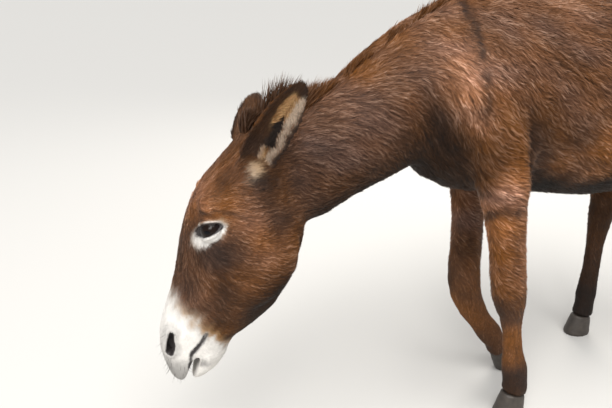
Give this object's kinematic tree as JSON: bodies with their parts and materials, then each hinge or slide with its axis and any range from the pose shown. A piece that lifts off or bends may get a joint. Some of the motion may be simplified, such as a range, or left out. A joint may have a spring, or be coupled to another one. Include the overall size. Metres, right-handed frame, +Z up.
{
  "type": "donkey",
  "caption": "Life-size still model of a brown donkey with a white muzzle, standing and lowering its head to graze, one forefoot resting on its toe.",
  "frame": {"origin": "on the floor, under the middle of the model's bounding box", "axes": "the donkey faces -X, its left side is at -Y and +Z is up"},
  "size_m": [1.6824, 0.418, 1.0462],
  "materials": {
    "coat_brown": "short warm brown fur with lighter tips",
    "coat_dark": "dark brown fur of ears, mane and dock",
    "coat_pale": "short off-white fur of the muzzle",
    "coat_grey": "reddish brown fur of the lower legs, grey-brown at the pasterns",
    "tail_hair": "long dark hair with reddish ends",
    "eye": "wet dark brown",
    "hoof": "dull dark grey horn"
  },
  "bodies": {
    "root": {"head": "coat_brown", "muzzle": "coat_pale", "chin": "coat_pale", "eye_left": "eye", "eye_right": "eye", "ear_left": "coat_dark", "ear_right": "coat_dark", "neck": "coat_brown", "mane": "coat_dark", "chest": "coat_brown", "barrel": "coat_brown", "hindquarters": "coat_brown", "tail_dock": "coat_dark", "tail_switch": "tail_hair", "forearm_left": "coat_brown", "cannon_fore_left": "coat_grey", "hoof_fore_left": "hoof", "forearm_right": "coat_brown", "cannon_fore_right": "coat_grey", "hoof_fore_right": "hoof", "thigh_left": "coat_brown", "cannon_hind_left": "coat_grey", "hoof_hind_left": "hoof", "thigh_right": "coat_brown", "cannon_hind_right": "coat_grey", "hoof_hind_right": "hoof"}
  },
  "joints": []
}
